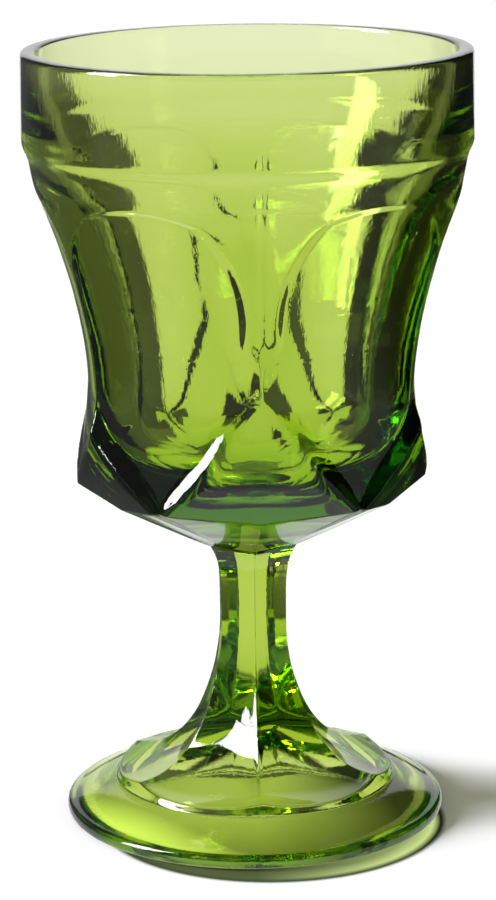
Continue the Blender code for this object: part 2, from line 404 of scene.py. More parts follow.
@dataclass(frozen=True)
class Foot:
    """A round disc, a raised plinth and six scooped petals that rise to the stem."""

    radius: float = 0.0362
    edge_height: float = 0.0028
    edge_round: float = 0.0014
    recess_radius: float = 0.0315
    recess_depth: float = 0.0150
    recess_curve: float = 1.15
    disc_bulge: float = 0.0003
    plinth_radius: float = 0.0266
    plinth_floor: float = 0.0066
    plinth_wall: float = 0.0014
    plinth_setback: float = 0.0005
    ridge_rise: float = 0.0013
    ridge_notch: float = 0.0006
    ridge_flare: float = 0.0050
    petal_flare: float = 0.0046
    height: float = 0.0200
    dome_rows: int = 20
    ring_rows: int = 4
    edge_rows: int = 6
    disc_rows: int = 14
    wall_rows: int = 5
    petal_rows: int = 30
    petal_crowd: float = 0.3

    def rows(self, stem_radius: float, plan: Plan) -> list[Row]:
        """Return the foot's rows, from the middle of its underside to the stem."""
        return turned(self.underside() + self.disc()) + self.petals(stem_radius, plan)

    def underside(self) -> list[Pair]:
        """Draw the domed underside and the ring that the goblet stands on.

        Returns:
            Radius and height of each row, from the middle out.
        """
        dome = []
        for share in shares(self.dome_rows, start=False):
            rise = self.recess_depth * (1 - share**self.recess_curve)
            dome.append((self.recess_radius * share, rise))
        return dome + straight(dome[-1], (self.radius - self.edge_round, 0.0), self.ring_rows)

    def disc(self) -> list[Pair]:
        """Draw the disc's rounded edge and its sloping top.

        Returns:
            Radius and height of each row, up to the plinth.
        """
        middle = self.edge_height - self.edge_round
        foot = (self.radius - self.edge_round, 0.0)
        belly = (self.radius, middle)
        brim = (self.radius - self.edge_round, self.edge_height)
        points = curved(foot, (self.radius, 0.0), belly, self.edge_rows)
        points += curved(belly, (self.radius, self.edge_height), brim, self.edge_rows)
        plinth = (self.plinth_radius, self.plinth_floor)
        return points + straight(brim, plinth, self.disc_rows, self.disc_bulge)

    def petals(self, stem_radius: float, plan: Plan) -> list[Row]:
        """Lay out the plinth's wall and the petals.

        Args:
            stem_radius: Corner radius of the stem where it leaves the foot.
            plan: The six sides.

        Returns:
            The rows from the plinth's edge up to the stem.
        """
        petal_z = self.plinth_floor + self.plinth_wall
        ridge_z = petal_z + self.ridge_rise
        edge = self.plinth_radius - self.plinth_setback
        apothem = stem_radius * math.cos(plan.side_half(0))
        wall_foot = (self.plinth_radius, self.plinth_floor)
        ridge = (
            (edge - self.ridge_notch, ridge_z),
            (stem_radius + self.ridge_flare, ridge_z),
            (stem_radius, self.height),
        )
        petal = ((edge, petal_z), (apothem + self.petal_flare, petal_z), (apothem, self.height))
        walls = (straight(wall_foot, top[0], self.wall_rows) for top in (ridge, petal))
        rows = [Row(on_ridge, on_petal) for on_ridge, on_petal in zip(*walls)]
        for share in shares(self.petal_rows, start=False, crowd=self.petal_crowd):
            rows.append(Row(curve(*ridge, share), curve(*petal, share)))
        return rows


@dataclass(frozen=True)
class Stem:
    """Six flat sides, narrowest at the waist."""

    length: float = 0.0330
    base_radius: float = 0.0110
    waist_radius: float = 0.00695
    waist_height: float = 0.0180
    top_radius: float = 0.0092
    base_curve: float = 2.0
    top_curve: float = 4.5
    row_count: int = 36

    def radius_at(self, height: float) -> float:
        """Find how wide the stem is.

        Args:
            height: Height above the foot.

        Returns:
            Its radius at the corners.
        """
        if height < self.waist_height:
            share = (self.waist_height - height) / self.waist_height
            return self.waist_radius + (self.base_radius - self.waist_radius) * share**self.base_curve
        share = (height - self.waist_height) / (self.length - self.waist_height)
        return self.waist_radius + (self.top_radius - self.waist_radius) * share**self.top_curve

    def rows(self, bottom: float, plan: Plan) -> list[Row]:
        """Lay out the stem's rows.

        Args:
            bottom: Height at which the stem leaves the foot.
            plan: The six sides.

        Returns:
            The rows above the foot's last one.
        """
        flatness = math.cos(plan.side_half(0))
        rows = []
        for share in shares(self.row_count, start=False):
            height = self.length * share
            radius = self.radius_at(height)
            rows.append(Row((radius, bottom + height), (radius * flatness, bottom + height)))
        return rows


@dataclass(frozen=True)
class BowlSides:
    """Sizes that the press reads: heights are above the ground, radii from the axis."""

    keel_height: float = 0.0629
    corner_height: float = 0.0655
    corner_radius: float = 0.0339
    waist_radius: float = 0.0305
    waist_height: float = 0.0850
    panel_foot_radius: float = 0.0326
    panel_section_radius: float = 0.0750
    panel_rise_curve: float = 1.7
    panel_foot_curve: float = 1.25
    flat_slope: float = 0.620
    flat_bulge: float = 19.5
    flat_bulge_depth: float = 0.0120
    shoulder_drop: float = 0.0027
    shoulder_taper: float = 0.240
    shoulder_depth: float = 0.0220
    base_spread: float = 0.35
    ring_radius: float = 0.03975
    ring_height: float = 0.1220
    spoon_gap: float = 0.0025
    spoon_steepness: float = 0.90
    spoon_softness: float = 0.0010
    spoon_turn: float = math.radians(12.0)
    spoon_top: float = 0.0900
    spoon_fade: float = 0.0100
    cusp_height: float = 0.00025
    cusp_width: float = 0.0007
    edge_softness: float = 0.0004
    seam_height: float = 0.00012
    seam_width: float = 0.0003
    ripple_depth: float = 0.00003
    ripple_scale: float = 140.0
    ripple_detail: float = 1.0
    polish_passes: int = 1
    polish_weight: float = 0.6


@dataclass(frozen=True)
class Bowl:
    """A shallow underside, six panels and six flats, a ring, a rim band and a turned hollow."""

    sides: BowlSides = BowlSides()
    collar_spread: float = 0.0016
    collar_rise: float = 0.0006
    ring_depth: float = 0.0040
    ring_flare: float = 0.00075
    step_depth: float = 0.0042
    step_bend: float = 0.24
    band_lower_radius: float = 0.0418
    band_upper_radius: float = 0.0416
    band_depth: float = 0.0162
    lip_round: float = 0.0008
    lip_wall: float = 0.0029
    band_bend_height: float = 0.1345
    shoulder_radius: float = 0.0346
    shoulder_height: float = 0.1215
    waist_bend_height: float = 0.0990
    waist_wall: float = 0.0053
    floor_height: float = 0.0675
    floor_curve: float = 3.2
    underside_rows: int = 22
    flat_rows: int = 20
    row_crowd: float = 0.5
    panel_rows: int = 62
    ring_rows: int = 6
    bend_rows: int = 6
    band_rows: int = 9
    lip_rows: int = 3
    wall_rows: int = 22
    floor_rows: int = 20

    @property
    def step_height(self) -> float:
        """Return the height of the step under the rim band."""
        return self.sides.ring_height + self.ring_depth

    @property
    def rim_height(self) -> float:
        """Return the height of the lip."""
        return self.step_height + self.step_depth + self.band_depth

    def rows(self, joint_radius: float, joint_height: float, plan: Plan) -> list[Row]:
        """Return the bowl's rows, up its outside and down its hollow."""
        rows = self.underside(joint_radius, joint_height, plan) + self.pressed_sides()
        return rows + turned(self.band()) + turned(self.hollow(), moulded=0.0)

    def underside(self, joint_radius: float, joint_height: float, plan: Plan) -> list[Row]:
        """Lay out the underside, to which the press adds the lower edge by its share.

        Args:
            joint_radius: Corner radius of the stem where it meets the bowl.
            joint_height: Height of that joint.
            plan: The six sides.

        Returns:
            The rows from the stem out to the lower edge.
        """
        widths = (1.0, math.cos(plan.side_half(0)))
        spread = joint_radius + self.collar_spread
        collar_z = joint_height + self.collar_rise
        rows = []
        for share in shares(self.underside_rows, start=False, crowd=self.row_crowd):
            ridge, side = (
                curve((joint_radius * width, joint_height), (spread * width, collar_z), NOWHERE, share)
                for width in widths
            )
            rows.append(Row(ridge, side, rise=0.0, bowl_share=share * share))
        return rows

    def pressed_sides(self) -> list[Row]:
        """Lay out the flats and panels, whose shape the press works out.

        Returns:
            The rows from the lower edge up to the ring.
        """
        sides = self.sides
        level = 2 * sides.corner_height - sides.keel_height
        rows = []
        for share in shares(self.flat_rows, start=False, crowd=self.row_crowd):
            rows.append(Row(NOWHERE, NOWHERE, level, share, bowl_share=1.0))
        for share in shares(self.panel_rows, start=False):
            height = level + (sides.ring_height - level) * share
            rows.append(Row(NOWHERE, NOWHERE, height, bowl_share=1.0))
        return rows

    def band(self) -> list[Pair]:
        """Draw the round top: ring, step, rim band and the outer half of the lip.

        Returns:
            Radius and height of each row.
        """
        ring = (self.sides.ring_radius, self.sides.ring_height)
        ring_top = (ring[0] + self.ring_flare, self.step_height)
        ledge = (self.band_lower_radius, self.step_height + self.step_depth)
        middle = ((ring_top[0] + ledge[0]) / 2, (ring_top[1] + ledge[1]) / 2)
        bend = self.step_depth * self.step_bend
        hollow = (ring_top[0] + self.ring_flare * bend / self.ring_depth, ring_top[1] + bend)
        shoulder = (ledge[0], ledge[1] - bend)
        upper = (self.band_upper_radius, self.rim_height - self.lip_round)
        lip = (self.band_upper_radius - self.lip_round, self.rim_height)
        points = straight(ring, ring_top, self.ring_rows)
        points += curved(ring_top, hollow, middle, self.bend_rows)
        points += curved(middle, shoulder, ledge, self.bend_rows)
        points += straight(ledge, upper, self.band_rows)
        return points + curved(upper, (self.band_upper_radius, self.rim_height), lip, self.bend_rows)

    def hollow(self) -> list[Pair]:
        """Draw the inner half of the lip, the hollow's wall and its rounded floor.

        Returns:
            Radius and height of each row.
        """
        lip_outer = (self.band_upper_radius - self.lip_round, self.rim_height)
        inner = self.band_upper_radius - self.lip_wall
        lip_inner = (inner + self.lip_round, self.rim_height)
        wall_top = (inner, self.rim_height - self.lip_round)
        points = straight(lip_outer, lip_inner, self.lip_rows)
        points += curved(lip_inner, (inner, self.rim_height), wall_top, self.bend_rows)
        sides = self.sides
        waist = sides.waist_radius - self.waist_wall
        shoulder = (self.shoulder_radius, self.shoulder_height)
        points += curved(wall_top, (inner, self.band_bend_height), shoulder, self.wall_rows)
        bend = (waist, self.waist_bend_height)
        points += curved(shoulder, bend, (waist, sides.waist_height), self.wall_rows)
        depth = sides.waist_height - self.floor_height
        power = 2 / self.floor_curve
        for share in shares(self.floor_rows, start=False)[:-1]:
            turn = math.pi / 2 * share
            drop = depth * math.sin(turn) ** power
            points.append((waist * math.cos(turn) ** power, sides.waist_height - drop))
        return points


class Press:
    """The geometry node tree that presses the panels, flats, facets and petals into the blank."""

    def __init__(self, sizes: BowlSides, material: bpy.types.Material) -> None:
        """Build the tree.

        Args:
            sizes: Sizes that become the tree's named inputs.
            material: Finish that the tree sets last.
        """
        self.sizes = sizes
        self.tree = bpy.data.node_groups.new("press six sides", "GeometryNodeTree")
        self.inputs: dict[str, str] = {}
        self.size: dict[str, Field] = {}
        self._declare()
        self._build(material)

    def _declare(self) -> None:
        """Give the tree its geometry sockets and one named input for each size."""
        face = self.tree.interface
        face.new_socket("Blank", in_out="INPUT", socket_type="NodeSocketGeometry")
        face.new_socket("Glass", in_out="OUTPUT", socket_type="NodeSocketGeometry")
        self.entry = self.tree.nodes.new("NodeGroupInput")
        for entry in fields(self.sizes):
            value = getattr(self.sizes, entry.name)
            kind = "NodeSocketInt" if isinstance(value, int) else "NodeSocketFloat"
            name = entry.name.replace("_", " ")
            socket = face.new_socket(name, in_out="INPUT", socket_type=kind)
            self.inputs[entry.name] = socket.identifier
            self.size[entry.name] = Field(self.tree, self.entry.outputs[name])

    def _mark(self, mark: Mark) -> Field:
        """Read a mark.

        Args:
            mark: Which one.

        Returns:
            What the blank's points carry under its name.
        """
        node = self.tree.nodes.new("GeometryNodeInputNamedAttribute")
        node.data_type = "FLOAT"
        node.inputs["Name"].default_value = mark.value
        return Field(self.tree, node.outputs["Attribute"])

    def _bowl(self) -> tuple[Field, Field, Field]:
        """Work out the pressed sides.

        Returns:
            Radius, which is the innermost of the round blank, the panel and the flat; height; and
            the depth of the panel under the blank, which is 0 along the panel's arch.
        """
        size = self.size
        offset, half = self._mark(Mark.RIDGE_OFFSET), self._mark(Mark.RIDGE_HALF)
        corner = self._mark(Mark.CORNER_OFFSET)
        edge_rise = size["corner_height"] - size["keel_height"]
        edge = size["keel_height"] + edge_rise * offset.tan().size() / half.tan()
        height = edge + (self._mark(Mark.LEVEL) - edge) * self._mark(Mark.RISE)

        below_ring = size["ring_height"] - size["shoulder_drop"] - height
        below_ring = below_ring.most(0.0).least(size["shoulder_depth"])
        blank = size["ring_radius"] - size["shoulder_taper"] * below_ring
        blank = blank + size["base_spread"] * (size["waist_height"] - height).most(0.0)

        waist, waist_z = size["waist_radius"], size["waist_height"]
        above = (height - waist_z).most(0.0) / (size["ring_height"] - waist_z)
        below = (waist_z - height).most(0.0) / (waist_z - size["corner_height"])
        middle = waist + (size["ring_radius"] - waist) * above ** size["panel_rise_curve"]
        middle = middle + (size["panel_foot_radius"] - waist) * below ** size["panel_foot_curve"]
        section = size["panel_section_radius"]
        back = section - middle
        panel = (section**2.0 - (back * corner.sin()) ** 2.0).root() - back * corner.cos()
        panel = panel + (offset.size() * middle / size["cusp_width"] * -1.0).exp() * size["cusp_height"]

        reach = size["corner_radius"] * half.cos()
        rise = height - size["corner_height"]
        swell = rise.most(0.0).least(size["flat_bulge_depth"])
        lean = size["flat_slope"] * rise - size["flat_bulge"] * swell * (rise.most(0.0) * 2.0 - swell)
        flat = (reach + lean) / offset.cos()
        panel = panel + self._spoon(flat - panel, corner, height)
        soft = size["edge_softness"]
        return blank.soft_least(panel.soft_least(flat, soft), soft), height, blank - panel

    def _spoon(self, gap: Field, corner: Field, height: Field) -> Field:
        """Return how far a panel's foot curls up to the edge of a flat.

        Args:
            gap: Depth of the panel under the flat.
            corner: Angle from the middle of the panel.
            height: Height above the ground.

        Returns:
            Height of the curl over the panel.
        """
        size = self.size
        curl = (size["spoon_gap"] - gap).math("SMOOTH_MAX", 0.0, size["spoon_softness"])
        beside = (corner.size() / size["spoon_turn"]).least(1.0)
        low = ((size["spoon_top"] - height) / size["spoon_fade"]).held()
        return curl * size["spoon_steepness"] * beside * low

    def _seam(self, turn: Field, radius: Field) -> Field:
        """Work out the mould's two seams, front and back.

        Args:
            turn: Angle from the front.
            radius: Distance from the axis.

        Returns:
            How far the glass stands proud.
        """
        across = turn.sin() * radius / self.size["seam_width"]
        bell = (across * across * -1.0).exp()
        return bell * self.size["seam_height"] * self._mark(Mark.MOULDED)

    def _ripple(self) -> Field:
        """Work out the slow unevenness that the mould leaves in the glass.

        Returns:
            How far the glass lies out, or in where it is negative.
        """
        noise = self.tree.nodes.new("ShaderNodeTexNoise")
        noise.noise_dimensions = "3D"
        self.tree.links.new(self.size["ripple_scale"].socket, noise.inputs["Scale"])
        self.tree.links.new(self.size["ripple_detail"].socket, noise.inputs["Detail"])
        value = Field(self.tree, noise.outputs[0])
        return (value - 0.5) * self.size["ripple_depth"] * 2.0

    def _set_position(self, geometry: Socket, **inputs: Socket) -> Socket:
        """Add a Set Position node.

        Args:
            geometry: The geometry to move.
            **inputs: Sockets for Position or Offset.

        Returns:
            The moved geometry.
        """
        node = self.tree.nodes.new("GeometryNodeSetPosition")
        self.tree.links.new(geometry, node.inputs["Geometry"])
        for name, socket in inputs.items():
            self.tree.links.new(socket, node.inputs[name.capitalize()])
        return node.outputs["Geometry"]

    def _build(self, material: bpy.types.Material) -> None:
        """Wire the tree: press, ripple, polish, keep the arches' depth, realize and set the material.

        Args:
            material: Finish that the tree sets last.
        """
        tree, link = self.tree, self.tree.links.new
        scoop = self._mark(Mark.SCOOP)
        ridge_r, ridge_z = self._mark(Mark.RIDGE_RADIUS), self._mark(Mark.RIDGE_HEIGHT)
        radius = ridge_r + (self._mark(Mark.SIDE_RADIUS) - ridge_r) * scoop
        height = ridge_z + (self._mark(Mark.SIDE_HEIGHT) - ridge_z) * scoop
        bowl_r, bowl_z, sunk = self._bowl()
        share = self._mark(Mark.BOWL_SHARE)
        radius = radius + bowl_r * share
        height = height + bowl_z * share
        turn = self._mark(Mark.TURN)
        radius = radius + self._seam(turn, radius)

        place = point(radius * turn.sin(), radius * turn.cos() * -1.0, height)
        pressed = self._set_position(self.entry.outputs["Blank"], position=place)

        outward = tree.nodes.new("ShaderNodeVectorMath")
        outward.operation = "SCALE"
        link(tree.nodes.new("GeometryNodeInputNormal").outputs["Normal"], outward.inputs["Vector"])
        link(self._ripple().socket, outward.inputs["Scale"])
        rippled = self._set_position(pressed, offset=outward.outputs["Vector"])

        blur = tree.nodes.new("GeometryNodeBlurAttribute")
        blur.data_type = "FLOAT_VECTOR"
        link(tree.nodes.new("GeometryNodeInputPosition").outputs["Position"], blur.inputs["Value"])
        link(self.size["polish_passes"].socket, blur.inputs["Iterations"])
        link(self.size["polish_weight"].socket, blur.inputs["Weight"])
        polished = self._set_position(rippled, position=blur.outputs["Value"])
        arch = tree.nodes.new("GeometryNodeStoreNamedAttribute")
        arch.data_type = "FLOAT"
        arch.inputs["Name"].default_value = ARCH_DEPTH
        link(polished, arch.inputs["Geometry"])
        link((sunk - share + 1.0).socket, arch.inputs["Value"])

        realize = tree.nodes.new("GeometryNodeRealizeInstances")
        dress = tree.nodes.new("GeometryNodeSetMaterial")
        leave = tree.nodes.new("NodeGroupOutput")
        dress.inputs["Material"].default_value = material
        link(arch.outputs["Geometry"], realize.inputs["Geometry"])
        link(realize.outputs["Geometry"], dress.inputs["Geometry"])
        link(dress.outputs["Geometry"], leave.inputs["Glass"])

    def shape(self, blank: bpy.types.Object) -> bpy.types.Mesh:
        """Press a blank.

        Args:
            blank: Object whose points carry the marks.

        Returns:
            The pressed glass as a plain mesh.
        """
        modifier = blank.modifiers.new("press", "NODES")
        modifier.node_group = self.tree
        for name, identifier in self.inputs.items():
            modifier[identifier] = getattr(self.sizes, name)
        evaluated = blank.evaluated_get(bpy.context.evaluated_depsgraph_get())
        mesh = bpy.data.meshes.new_from_object(evaluated)
        blank.modifiers.remove(modifier)
        for mark in Mark:
            mesh.attributes.remove(mesh.attributes[mark.value])
        mesh.shade_smooth()
        return mesh


@dataclass(frozen=True)
class GreenGlass:
    """Clear olive-green pressed glass: a smooth surface over a coloured body."""

    name: str = "green_pressed_glass"
    body_colour: Triple = (0.716, 0.838, 0.0)
    body_density: float = 197.0
    ior: float = 1.52
    polish_roughness: float = 0.0
    chill_scale: float = 1500.0
    chill_stretch: float = 0.35
    chill_depth: float = 0.000012
    mark_scale: float = 900.0
    mark_depth: float = 0.000005
    mark_top: float = 0.0085
    mark_fade: float = 0.002
    grain_detail: float = 2.0
    axis_gap: float = 0.0001
    arch_step: float = 0.00040
    arch_width: float = 0.00050
    arch_base: float = 0.0940
    arch_fade: float = 0.0080

    def material(self) -> bpy.types.Material:
        """Make the finish.

        Returns:
            A material with a clear surface and an absorbing body.
        """
        made = bpy.data.materials.new(self.name)
        made.use_nodes = True
        nodes, link = made.node_tree.nodes, made.node_tree.links.new
        shader = nodes["Principled BSDF"]
        shader.inputs["Base Color"].default_value = (*WHITE, 1.0)
        shader.inputs["Roughness"].default_value = self.polish_roughness
        shader.inputs["IOR"].default_value = self.ior
        shader.inputs["Transmission Weight"].default_value = 1.0
        link(self.surface(made.node_tree), shader.inputs["Normal"])
        body = nodes.new("ShaderNodeVolumeAbsorption")
        body.inputs["Color"].default_value = (*self.body_colour, 1.0)
        body.inputs["Density"].default_value = self.body_density
        link(body.outputs["Volume"], nodes["Material Output"].inputs["Volume"])
        return made

    def surface(self, tree: Tree) -> Socket:
        """Work out the relief of fire-polished glass: a fine chill, turning marks and the arches' edges.

        Args:
            tree: The finish's tree.

        Returns:
            The surface's normal.
        """
        x, y, z = axes(tree, "Object")
        reach = x.reach(y).most(self.axis_gap)
        chill = self.grain(tree, point(x, y, z * self.chill_stretch), self.chill_scale)
        marks = self.grain(tree, point(x / reach, y / reach, reach * self.mark_scale), 1.0)
        low = z.ramp(self.mark_top, -self.mark_fade)
        depth = tree.nodes.new("ShaderNodeAttribute")
        depth.attribute_name = ARCH_DEPTH
        inward = (Field(tree, depth.outputs["Fac"]) / self.arch_width).held()
        high = z.ramp(self.arch_base, self.arch_fade)
        step = inward.eased() * high * self.arch_step
        height = chill * self.chill_depth + marks * low * self.mark_depth - step
        bump = tree.nodes.new("ShaderNodeBump")
        bump.inputs["Strength"].default_value = 1.0
        bump.inputs["Distance"].default_value = 1.0
        tree.links.new(height.socket, bump.inputs["Height"])
        return bump.outputs["Normal"]

    def grain(self, tree: Tree, place: Socket, scale: float) -> Field:
        """Add cloudy noise.

        Args:
            tree: The finish's tree.
            place: Where the noise is read.
            scale: How fine it is.

        Returns:
            The noise, from 0 to 1.
        """
        noise = tree.nodes.new("ShaderNodeTexNoise")
        noise.inputs["Scale"].default_value = scale
        noise.inputs["Detail"].default_value = self.grain_detail
        tree.links.new(place, noise.inputs["Vector"])
        return Field(tree, noise.outputs[0])


@dataclass(frozen=True)
class Goblet:
    """The whole goblet, one piece of glass from the foot to the lip."""

    name: str = "goblet_glass"
    plan: Plan = Plan()
    foot: Foot = Foot()
    stem: Stem = Stem()
    bowl: Bowl = Bowl()
    finish: GreenGlass = GreenGlass()
    scoop_depth: float = 0.0006
    scoop_height: float = 0.0195
    scoop_spread: float = 0.0060

    def rows(self) -> list[Row]:
        """Lay out the whole glass.

        Returns:
            Every row, from the middle of the underside to the floor of the hollow.
        """
        joint = self.foot.height + self.stem.length
        rows = self.foot.rows(self.stem.base_radius, self.plan)
        rows += self.stem.rows(self.foot.height, self.plan)
        rows = [row if row.ridge == row.side else self.scooped(row) for row in rows]
        return rows + self.bowl.rows(self.stem.top_radius, joint, self.plan)

    def scooped(self, row: Row) -> Row:
        """Hollow the sides of a row, deepest where the stem flares into the foot.

        Args:
            row: The row as laid out.

        Returns:
            The row with its sides set in.
        """
        away = (row.side[1] - self.scoop_height) / self.scoop_spread
        depth = self.scoop_depth * math.exp(-away * away)
        return replace(row, side=(row.side[0] - depth, row.side[1]))

    def blank(self) -> bpy.types.Object:
        """Make the blank: a closed grid of rows and columns, with the marks on its points.

        Returns:
            The blank as a linked object.
        """
        rows, angles = self.rows(), self.plan.columns()
        wide, tall = len(angles), len(rows)
        under, floor = wide * tall, wide * tall + 1
        faces = []
        for row in range(tall - 1):
            for column in range(wide):
                after = (column + 1) % wide
                low, high = row * wide, (row + 1) * wide
                faces.append((low + column, low + after, high + after, high + column))
        last = (tall - 1) * wide
        for column in range(wide):
            after = (column + 1) % wide
            faces.append((under, after, column))
            faces.append((floor, last + column, last + after))
        mesh = bpy.data.meshes.new(self.name)
        mesh.from_pydata([(0.0, 0.0, 0.0)] * (under + 2), [], faces)
        self._write_marks(mesh, rows, angles)
        return placed(self.name, mesh)

    def _write_marks(self, mesh: bpy.types.Mesh, rows: list[Row], angles: list[float]) -> None:
        """Write what each row and column carries onto the blank's points.

        Args:
            mesh: The blank's mesh.
            rows: Its rows.
            angles: Its columns.
        """
        by_column = [self.plan.marks(angle) for angle in angles]
        by_row = {
            Mark.RIDGE_RADIUS: [row.ridge[0] for row in rows],
            Mark.RIDGE_HEIGHT: [row.ridge[1] for row in rows],
            Mark.SIDE_RADIUS: [row.side[0] for row in rows],
            Mark.SIDE_HEIGHT: [row.side[1] for row in rows],
            Mark.LEVEL: [row.level for row in rows],
            Mark.RISE: [row.rise for row in rows],
            Mark.BOWL_SHARE: [row.bowl_share for row in rows],
            Mark.MOULDED: [row.moulded for row in rows],
        }
        poles = {Mark.RIDGE_HEIGHT, Mark.SIDE_HEIGHT}
        ends = [self.foot.recess_depth, self.bowl.floor_height]
        for mark in Mark:
            if mark in by_row:
                values = np.repeat(by_row[mark], len(angles))
            else:
                values = np.tile([column[mark] for column in by_column], len(rows))
            tail = ends if mark in poles else [0.0, 0.0]
            data = mesh.attributes.new(mark.value, "FLOAT", "POINT").data
            data.foreach_set("value", np.concatenate([values, tail]).astype(np.float32))

    def build(self) -> bpy.types.Object:
        """Press the blank, dress it and set it in the frame.

        Returns:
            The finished piece.
        """
        piece = self.blank()
        press = Press(self.bowl.sides, self.finish.material())
        piece.data = press.shape(piece)
        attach(piece, BODY)
        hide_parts("bowl", "stem", "foot")
        return piece


class Role(Enum):
    """What a lamp is for: to be seen in the glass, or to light the floor."""

    GLINT = "glint"
    SHADOW = "shadow"


@dataclass(frozen=True)
class Lamp:
    """A soft rectangular lamp, placed by bearing from the front, height angle and distance from its aim."""

    name: str
    bearing: float
    elevation: float
    distance: float
    width: float
    height: float
    radiance: float
    role: Role
    colour: Triple = WHITE
    aim: Triple = (0.0, 0.0, 0.07)

    def build(self) -> bpy.types.Object:
        """Make the lamp and turn it to its aim.

        Returns:
            The lamp.
        """
        data = bpy.data.lights.new(self.name, "AREA")
        data.shape = "RECTANGLE"
        data.size, data.size_y = self.width, self.height
        data.color = self.colour
        data.energy = self.radiance * math.pi * self.width * self.height
        lamp = placed(self.name, data)
        bearing, lift = math.radians(self.bearing), math.radians(self.elevation)
        away = Vector((math.sin(bearing), -math.cos(bearing), 0.0)) * math.cos(lift)
        away.z = math.sin(lift)
        lamp.location = Vector(self.aim) + away * self.distance
        lamp.rotation_euler = away.to_track_quat("Z", "Y").to_euler()
        lamp.visible_diffuse = self.role is Role.SHADOW
        lamp.visible_glossy = lamp.visible_transmission = self.role is Role.GLINT
        return lamp


@dataclass(frozen=True)
class Sweep:
    """What the glass shows of the studio, painted as emitted light on the floor: white paper under and
    behind the goblet, a dim room, and painted light and shade under and behind the foot.
    """

    turn: float = math.radians(3.3)
    half: float = math.radians(13.0)
    fade: float = math.radians(1.5)
    opening: float = math.radians(10.0)
    widen_start: float = 0.50
    widen_spread: float = 0.60
    widen_height: float = 0.08
    full_height: float = 0.14
    top: float = 0.80
    top_fade: float = 0.12
    near_radius: float = 0.077
    near_fade: float = 0.012
    left_grey: float = 0.14
    right_grey: float = 0.02
    room_slope: float = 1.2
    room_middle: float = 0.4
    ceiling_grey: float = 0.15
    ceiling_curve: float = 3.0
    front_grey: float = 0.35
    front_fade: float = 0.10
    # Painted light and shade on the floor under the foot, seen only through the glass.
    foot_light: float = 0.58
    foot_dark: float = 0.06
    foot_fall: float = 20.0
    front_loss: float = 0.5
    front_start: float = 0.015
    front_spread: float = 0.015
    glow_light: float = 0.72
    glow_turn: float = math.radians(50.0)
    glow_start: float = 0.0215
    glow_spread: float = 0.007
    foot_radius: float = 0.0355
    foot_fade: float = 0.003
    # Painted light: the green of light that has passed the foot, laid on the floor under it.
    foot_tint: Triple = (0.79, 1.00, 0.22)
    # Painted shadow of the foot and the stem on the floor behind them.
    shade_depth: float = 0.8
    shade_start: float = 0.020
    shade_slope: float = 0.6
    shade_reach: float = 0.041
    shade_fade: float = 0.004
    # Painted light on the open floor on the window's side.
    side_light: float = 0.9
    side_share: float = 0.64
    side_fade: float = 0.13
    side_start: float = 0.30
    side_spread: float = 0.25

    def room(self, x: Field) -> Field:
        """Return the dim room's grey, lighter on the window's side."""
        towards = (x * -self.room_slope + self.room_middle).held()
        return towards * (self.left_grey - self.right_grey) + self.right_grey

    def behind(self, x: Field, y: Field, height: Field) -> Field:
        """Mark the paper behind the goblet, which opens out far off and with height.

        Args:
            x: How far the spot lies to the right.
            y: How far it lies to the back.
            height: How high it lies, or what stands for height far off on the floor.

        Returns:
            1 on the paper and 0 beside it.
        """
        away = (x.math("ARCTAN2", y) - self.turn).size()
        wide = (height / self.full_height).held() * self.opening + self.half
        return wide.past(away, self.fade) * height.ramp(self.top, -self.top_fade)

    def under(self, x: Field, y: Field) -> Field:
        """Paint the light under the foot: a painted glow towards the window, and painted shade on the far
        side and at the front.

        Args:
            x: How far the spot lies to the right.
            y: How far it lies to the back.

        Returns:
            The brightness there.
        """
        level = (x * -self.foot_fall + self.foot_light).least(self.foot_light).most(self.foot_dark)
        front = (y * -1.0).ramp(self.front_start, self.front_spread) * self.front_loss
        towards = x * -math.sin(self.glow_turn) - y * math.cos(self.glow_turn)
        glow = towards.ramp(self.glow_start, self.glow_spread) * self.glow_light
        return level - level * front + glow

    def beyond_foot(self, x: Field, y: Field) -> Field:
        """Return 0 on the floor under the foot and 1 outside it."""
        return x.reach(y).past(self.foot_radius, self.foot_fade)

    def aside(self, x: Field, reach: Field) -> Field:
        """Return the painted light on the open floor on the window's side, well away from the goblet."""
        beside = (x / reach * -1.0).ramp(self.side_share, self.side_fade)
        return reach.ramp(self.side_start, self.side_spread) * beside * self.side_light

    def shaded(self, x: Field, y: Field) -> Field:
        """Return the painted shadow: how much light the foot and the stem take from the floor close behind
        them.
        """
        back = (y - x.size() * self.shade_slope).past(self.shade_start, self.shade_fade)
        return x.reach(y).past(self.shade_reach, -self.shade_fade) * back * self.shade_depth

    def on_floor(self, x: Field, y: Field, clear: Field) -> Field:
        """Paint the whole floor's light as the glass shows it, as an emission, with painted light and shade
        under and behind the foot.

        Args:
            x: How far the spot lies to the right.
            y: How far it lies to the back.
            clear: 1 for a ray that the glass lets through, and 0 for one that it reflects.

        Returns:
            The brightness there.
        """
        reach = x.reach(y)
        near = reach.past(self.near_radius, -self.near_fade)
        far = reach.ramp(self.widen_start, self.widen_spread) * self.widen_height
        paper = near.most(self.behind(x, y, far))
        front = (y / -self.front_fade).held() * self.front_grey
        table = self.room(x / reach).most(front).most(self.aside(x, reach) * clear)
        open_floor = table.blend(1.0, paper)
        level = self.under(x, y).blend(open_floor, self.beyond_foot(x, y))
        return level - level * self.shaded(x, y)

    def floor_colour(self, x: Field, y: Field) -> Socket:
        """Return the floor's colour: white, and tinted with painted green light where its light has passed
        the foot.
        """
        return mixed(self.beyond_foot(x, y), self.foot_tint, WHITE)

    def in_sky(self, x: Field, y: Field, z: Field) -> Field:
        """Return the brightness of the surround in a direction."""
        room = self.room(x).most(z.held() ** self.ceiling_curve * self.ceiling_grey)
        return room.blend(1.0, self.behind(x, y, z + self.widen_height))


